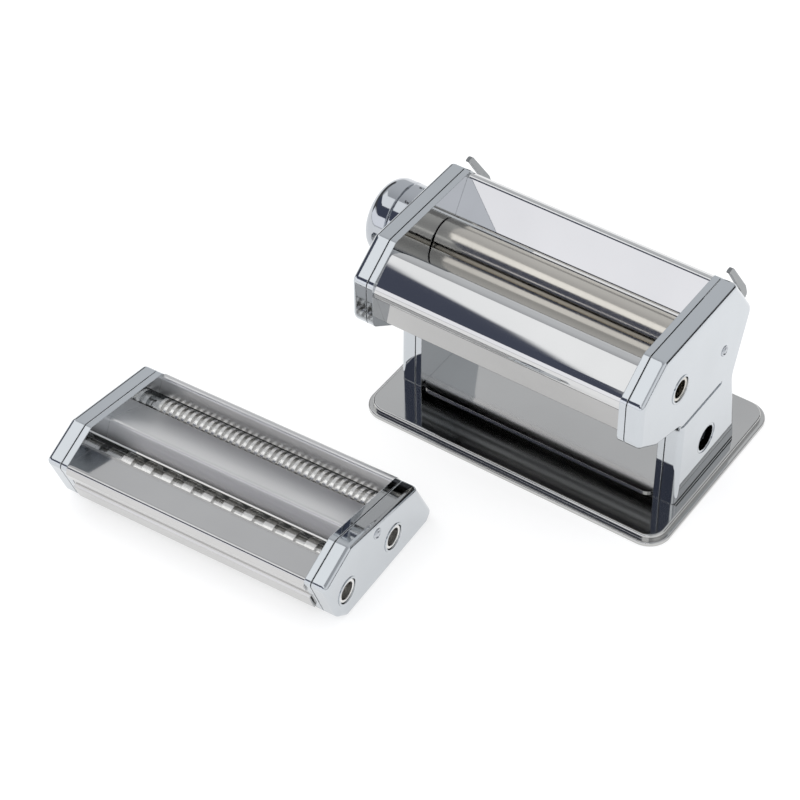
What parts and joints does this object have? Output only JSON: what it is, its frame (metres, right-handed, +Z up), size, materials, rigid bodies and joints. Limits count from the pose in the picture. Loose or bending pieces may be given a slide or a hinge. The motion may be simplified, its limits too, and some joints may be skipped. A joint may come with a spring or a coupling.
{
  "type": "pasta roller machine",
  "caption": "Hand-cranked dough sheeter in polished steel with smooth rollers between end caps, a thickness dial, a flat base and a separate cutter head with fine and wide cutting rolls.",
  "frame": {"origin": "centre of the base, on the surface the machine stands on", "axes": "+X along the rollers towards the crank side, +Y towards the back, +Z up"},
  "size_m": [0.2898, 0.2797, 0.1311],
  "materials": {
    "chrome_cap": "polished",
    "chrome_sheet": "polished",
    "base_steel": "polished sheet steel",
    "roller_steel": "satin ground",
    "frame_steel": "zinc plated",
    "gear_steel": "machined",
    "bush_bronze": "machined",
    "screw_steel": "zinc plated",
    "knob_chrome": "chromed plastic",
    "scraper_plastic": "moulded",
    "rubber_feet": "matte"
  },
  "bodies": {
    "machine": {"base_plate": "base_steel", "base_feet": "rubber_feet", "tie_plate": "base_steel", "inner_cover_left": "chrome_cap", "inner_cover_right": "chrome_cap", "outer_cover_left": "chrome_cap", "outer_cover_right": "chrome_cap", "side_frame_left": "frame_steel", "side_frame_right": "frame_steel", "clamp_socket_left": "chrome_cap", "clamp_socket_right": "chrome_cap", "hopper_back": "chrome_sheet", "front_cover": "chrome_sheet", "front_sheet": "chrome_sheet", "rear_sheet": "chrome_sheet", "tie_rods": "frame_steel", "rod_screws": "screw_steel", "leg_screws": "screw_steel", "roller_scraper": "scraper_plastic", "roller_bush_left": "bush_bronze", "roller_bush_right": "bush_bronze", "knob_bush": "bush_bronze", "crank_bezel": "chrome_cap"},
    "front_roller": {"front_roller": "roller_steel", "front_gear": "gear_steel"},
    "roller_carriage": {"carriage_left": "frame_steel", "carriage_right": "frame_steel", "carriage_bar": "frame_steel", "carriage_scraper": "scraper_plastic"},
    "rear_roller": {"rear_roller": "roller_steel", "rear_gear": "gear_steel"},
    "regulator": {"cam_disc": "frame_steel", "knob_shaft": "screw_steel", "knob_dial": "knob_chrome", "knob_grip": "knob_chrome", "knob_cap": "screw_steel"},
    "cutter_head": {"cutter_inner_left": "chrome_cap", "cutter_inner_right": "chrome_cap", "cutter_outer_left": "chrome_cap", "cutter_outer_right": "chrome_cap", "cutter_frame_left": "frame_steel", "cutter_frame_right": "frame_steel", "cutter_back_plate": "chrome_sheet", "cutter_middle_plate": "chrome_sheet", "cutter_front_plate": "chrome_sheet", "cutter_rods": "frame_steel", "cutter_screws": "screw_steel", "cutter_bezels": "chrome_cap", "fine_comb_driven": "frame_steel", "fine_comb_idle": "frame_steel", "wide_comb_driven": "frame_steel", "wide_comb_idle": "frame_steel"},
    "fine_driven": {"fine_roll_driven": "roller_steel", "fine_gear_driven": "gear_steel"},
    "fine_idle": {"fine_roll_idle": "roller_steel", "fine_gear_idle": "gear_steel"},
    "wide_driven": {"wide_roll_driven": "roller_steel", "wide_gear_driven": "gear_steel"},
    "wide_idle": {"wide_roll_idle": "roller_steel", "wide_gear_idle": "gear_steel"}
  },
  "joints": [
    {"name": "front_roller_spin", "type": "hinge", "parent": "machine", "child": "front_roller", "pos_m": [0, -0.0384, 0.0972], "axis": [1, 0, 0], "continuous": true},
    {"name": "carriage_slide", "type": "slide", "parent": "machine", "child": "roller_carriage", "axis": [0, -0.995, -0.0997], "range_m": [0, 0.002]},
    {"name": "rear_roller_spin", "type": "hinge", "parent": "roller_carriage", "child": "rear_roller", "pos_m": [0, -0.01146, 0.0999], "axis": [1, 0, 0], "continuous": true},
    {"name": "regulator_turn", "type": "hinge", "parent": "machine", "child": "regulator", "pos_m": [-0.1, -0.01146, 0.0999], "axis": [1, 0, 0], "range_deg": [0, 270]},
    {"name": "cutter_lift", "type": "slide", "parent": "machine", "child": "cutter_head", "axis": [0, 0, 1], "range_m": [0, 0.12]},
    {"name": "fine_driven_spin", "type": "hinge", "parent": "cutter_head", "child": "fine_driven", "pos_m": [-0.10396, -0.1496, 0.0196], "axis": [0.9991, 0.0415, 0], "continuous": true},
    {"name": "fine_idle_spin", "type": "hinge", "parent": "cutter_head", "child": "fine_idle", "pos_m": [-0.1045, -0.13662, 0.0196], "axis": [0.9991, 0.0415, 0], "continuous": true},
    {"name": "wide_driven_spin", "type": "hinge", "parent": "cutter_head", "child": "wide_driven", "pos_m": [-0.10213, -0.19367, 0.0196], "axis": [0.9991, 0.0415, 0], "continuous": true},
    {"name": "wide_idle_spin", "type": "hinge", "parent": "cutter_head", "child": "wide_idle", "pos_m": [-0.10267, -0.18068, 0.0196], "axis": [0.9991, 0.0415, 0], "continuous": true}
  ],
  "couplings": [
    {"joint": "rear_roller_spin", "follows": "front_roller_spin", "ratio": -1},
    {"joint": "regulator_turn", "follows": "carriage_slide", "rad_per_m": 2356.2},
    {"joint": "fine_idle_spin", "follows": "fine_driven_spin", "ratio": -1},
    {"joint": "wide_idle_spin", "follows": "wide_driven_spin", "ratio": -1}
  ]
}
